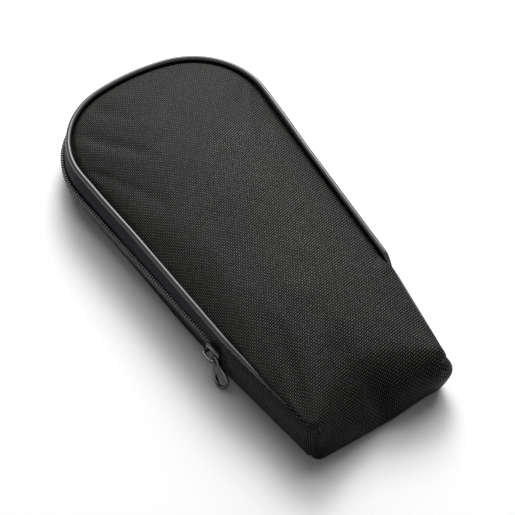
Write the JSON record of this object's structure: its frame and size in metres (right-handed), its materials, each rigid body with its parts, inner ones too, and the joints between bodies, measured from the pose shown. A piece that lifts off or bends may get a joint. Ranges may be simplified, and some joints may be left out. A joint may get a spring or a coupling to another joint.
{
  "type": "ophthalmoscope soft case",
  "caption": "Flat padded nylon zip case with a wide rounded head, a narrow square foot, vinyl piping and a coil zip round the head.",
  "frame": {"origin": "on the flat back face, on the centre line, about halfway from head to foot", "axes": "+Z out of the front of the case, +Y towards the wide rounded head, zip slider on the -X side"},
  "size_m": [0.1128, 0.2282, 0.0301],
  "materials": {
    "nylon_cloth": "coarse ballistic-type nylon weave",
    "foam_padding": "closed-cell foam sheet",
    "lining_cloth": "fine brushed nylon",
    "vinyl_piping": "semi-gloss extruded vinyl",
    "binding_tape": "ribbed grosgrain",
    "zip_tape": "fine herringbone polyester",
    "nylon_coil": "moulded nylon monofilament",
    "slider_metal": "gunmetal plated zinc casting"
  },
  "bodies": {
    "case": {"front_panel_foot": "nylon_cloth", "back_panel": "nylon_cloth", "left_gusset": "nylon_cloth", "right_gusset": "nylon_cloth", "front_foam_foot": "foam_padding", "back_foam": "foam_padding", "front_lining_foot": "lining_cloth", "back_lining": "lining_cloth", "left_gusset_lining": "lining_cloth", "right_gusset_lining": "lining_cloth", "piping_left": "vinyl_piping", "piping_right": "vinyl_piping", "front_binding_left": "binding_tape", "front_binding_right": "binding_tape", "back_binding": "binding_tape", "upper_tape_left_end": "zip_tape", "upper_tape_right_end": "zip_tape", "lower_tape": "zip_tape", "upper_coil_left_end": "nylon_coil", "upper_coil_right_end": "nylon_coil", "lower_coil": "nylon_coil"},
    "flap": {"front_panel_flap": "nylon_cloth", "front_foam_flap": "foam_padding", "front_lining_flap": "lining_cloth", "piping_flap": "vinyl_piping", "front_binding_flap": "binding_tape", "upper_tape_flap": "zip_tape", "upper_coil_flap": "nylon_coil"},
    "slider": {"slider_body": "slider_metal", "slider_bridge": "slider_metal"},
    "tab": {"pull_tab": "slider_metal"}
  },
  "joints": [
    {"name": "flap_fold", "type": "hinge", "parent": "case", "child": "flap", "pos_m": [0, -0.038, 0.0295], "axis": [1, 0, 0], "range_deg": [0, 115]},
    {"name": "slider_travel", "type": "slide", "parent": "case", "child": "slider", "axis": [-0.0844, 0.9964, 0], "range_m": [0, 0.105]},
    {"name": "tab_swing", "type": "hinge", "parent": "slider", "child": "tab", "pos_m": [-0.04794, -0.05008, 0.0125], "axis": [-0.9964, -0.0844, 0], "range_deg": [0, 100]}
  ]
}
